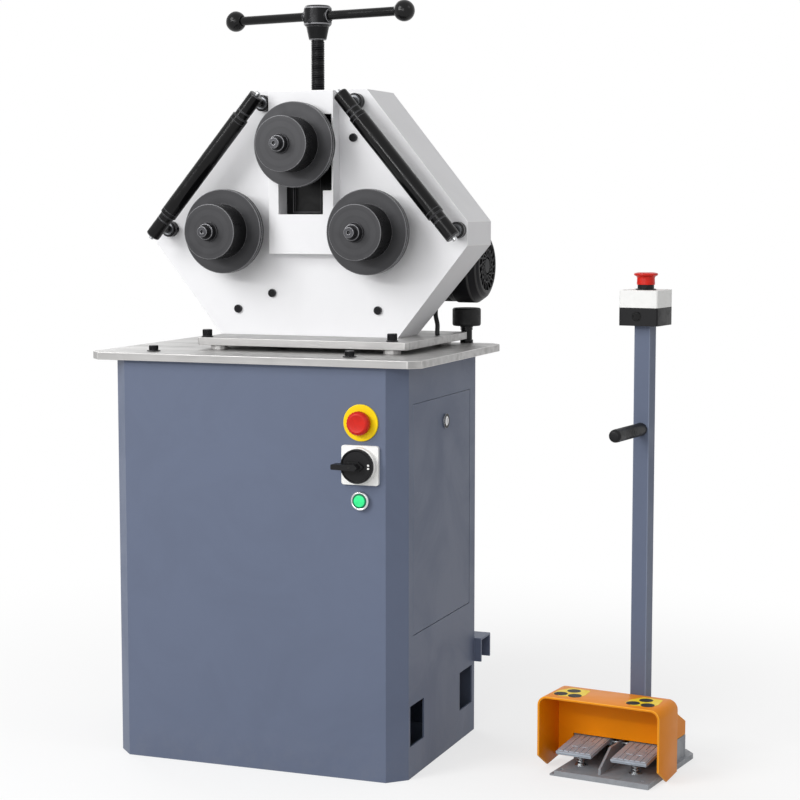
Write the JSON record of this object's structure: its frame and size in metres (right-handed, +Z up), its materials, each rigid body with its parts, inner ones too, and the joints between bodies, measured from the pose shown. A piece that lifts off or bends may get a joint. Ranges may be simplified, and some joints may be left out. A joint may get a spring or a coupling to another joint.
{
  "type": "ring roller",
  "caption": "Floor-standing motor-driven ring and profile roller: hand-fed upper roll on a screw slide, geared lower rolls, cabinet, and a separate foot-pedal station.",
  "frame": {"origin": "on the floor under the middle of the cabinet", "axes": "+Z up, front with the rolls and controls towards -Y, +X to the right seen from the front, where the foot station stands"},
  "size_m": [0.9712, 0.4992, 1.281],
  "materials": {
    "cabinet_paint": "textured powder coat",
    "white_paint": "textured powder coat",
    "plate_steel": "ground",
    "black_paint": "satin enamel",
    "orange_paint": "gloss enamel",
    "black_steel": "blackened, oiled",
    "grey_steel": "machined",
    "cast_grey": "painted casting",
    "black_plastic": "matt",
    "light_plastic": "satin",
    "yellow_plastic": "gloss",
    "red_plastic": "gloss",
    "green_plastic": "translucent lens",
    "chrome": "polished",
    "rubber": "moulded",
    "bronze": "turned bronze"
  },
  "bodies": {
    "machine": {"cabinet_shell": "cabinet_paint", "cable_hood": "cabinet_paint", "station_column": "cabinet_paint", "head_front": "white_paint", "head_back": "white_paint", "slide_cover": "white_paint", "table_plate": "plate_steel", "base_plate": "plate_steel", "gearbox": "black_paint", "motor": "black_paint", "fan_cover": "black_paint", "pedal_guard": "orange_paint", "rear_housing": "orange_paint", "support_axle_left": "black_steel", "support_axle_right": "black_steel", "buffer_post_left": "black_steel", "buffer_post_right": "black_steel", "switchgear_plate": "grey_steel", "slide_rails": "grey_steel", "left_bearing": "grey_steel", "right_bearing": "grey_steel", "pedal_pin": "grey_steel", "pedal_spring_left": "grey_steel", "pedal_spring_right": "grey_steel", "station_base": "cast_grey", "column_grip": "black_plastic", "stop_box_base": "black_plastic", "switch_plate": "light_plastic", "stop_box_cover": "light_plastic", "stop_disc": "yellow_plastic", "start_bezel": "chrome", "buffer_cap_left": "rubber", "buffer_cap_right": "rubber", "motor_lead": "rubber", "screw_nut": "bronze"},
    "side_door": {"side_door": "cabinet_paint"},
    "door_lock": {"door_lock": "grey_steel"},
    "slide": {"slide_block": "black_steel"},
    "screw": {"pressure_screw": "black_steel", "handle_hub": "black_steel", "handle_bar": "black_steel", "handle_ball_left": "black_plastic", "handle_ball_right": "black_plastic"},
    "upper_roll": {"upper_shaft": "black_steel", "upper_roll": "black_steel"},
    "left_drive": {"left_shaft": "black_steel", "left_roll": "black_steel", "left_gear": "grey_steel"},
    "right_drive": {"right_shaft": "black_steel", "right_roll": "black_steel", "right_gear": "grey_steel"},
    "pinion": {"drive_pinion": "grey_steel"},
    "support_left": {"support_roller_left": "black_steel"},
    "support_right": {"support_roller_right": "black_steel"},
    "stop_button": {"stop_button": "red_plastic"},
    "switch_knob": {"switch_knob": "black_plastic"},
    "start_button": {"start_button": "green_plastic"},
    "stop_mushroom": {"stop_mushroom": "red_plastic"},
    "pedal_left": {"pedal_left": "cast_grey"},
    "pedal_right": {"pedal_right": "cast_grey"}
  },
  "joints": [
    {"name": "door_swing", "type": "hinge", "parent": "machine", "child": "side_door", "pos_m": [0.265, 0.01, 0.237], "axis": [0, 1, 0], "range_deg": [0, 50]},
    {"name": "lock_turn", "type": "hinge", "parent": "side_door", "child": "door_lock", "pos_m": [0.265, 0.022, 0.575], "axis": [1, 0, 0], "range_deg": [0, 90]},
    {"name": "slide_travel", "type": "slide", "parent": "machine", "child": "slide", "axis": [0, 0, 1], "range_m": [-0.06, 0.01]},
    {"name": "screw_turn", "type": "hinge", "parent": "slide", "child": "screw", "pos_m": [0.016, 0.062, 1.15], "axis": [0, 0, 1], "range_deg": [-7200, 1200]},
    {"name": "upper_roll_spin", "type": "hinge", "parent": "slide", "child": "upper_roll", "pos_m": [0.016, -0.06, 1.0405], "axis": [0, 1, 0], "continuous": true},
    {"name": "left_drive_spin", "type": "hinge", "parent": "machine", "child": "left_drive", "pos_m": [-0.117, -0.06, 0.894], "axis": [0, 1, 0], "continuous": true},
    {"name": "right_drive_spin", "type": "hinge", "parent": "machine", "child": "right_drive", "pos_m": [0.149, -0.06, 0.894], "axis": [0, 1, 0], "continuous": true},
    {"name": "pinion_spin", "type": "hinge", "parent": "machine", "child": "pinion", "pos_m": [0.016, 0.1, 0.894], "axis": [0, 1, 0], "continuous": true},
    {"name": "support_left_spin", "type": "hinge", "parent": "machine", "child": "support_left", "pos_m": [-0.15395, -0.04, 1.00512], "axis": [-0.6458, 0, -0.7635], "continuous": true},
    {"name": "support_right_spin", "type": "hinge", "parent": "machine", "child": "support_right", "pos_m": [0.19995, -0.04, 1.00512], "axis": [0.6458, 0, -0.7635], "continuous": true},
    {"name": "stop_press", "type": "slide", "parent": "machine", "child": "stop_button", "axis": [0, 1, 0], "range_m": [0, 0.004]},
    {"name": "switch_turn", "type": "hinge", "parent": "machine", "child": "switch_knob", "pos_m": [0.1937, -0.2, 0.5215], "axis": [0, 1, 0], "range_deg": [0, 90]},
    {"name": "start_press", "type": "slide", "parent": "machine", "child": "start_button", "axis": [0, 1, 0], "range_m": [0, 0.003], "stiffness_N_per_m": 400, "springref_m": -0.002},
    {"name": "mushroom_press", "type": "slide", "parent": "machine", "child": "stop_mushroom", "axis": [0, 0, -1], "range_m": [0, 0.004]},
    {"name": "pedal_left_press", "type": "hinge", "parent": "machine", "child": "pedal_left", "pos_m": [0.52252, 0.06415, 0.038], "axis": [0.9903, -0.1392, 0], "range_deg": [0, 8], "stiffness_Nm_per_rad": 6, "springref_deg": -8.59, "deforming": ["pedal_spring_left"]},
    {"name": "pedal_right_press", "type": "hinge", "parent": "machine", "child": "pedal_right", "pos_m": [0.61897, 0.0506, 0.038], "axis": [0.9903, -0.1392, 0], "range_deg": [0, 8], "stiffness_Nm_per_rad": 6, "springref_deg": -8.59, "deforming": ["pedal_spring_right"]}
  ],
  "couplings": [
    {"joint": "slide_travel", "follows": "screw_turn", "m_per_rad": 0.00047746},
    {"joint": "right_drive_spin", "follows": "left_drive_spin", "ratio": 1},
    {"joint": "pinion_spin", "follows": "left_drive_spin", "ratio": -3}
  ]
}
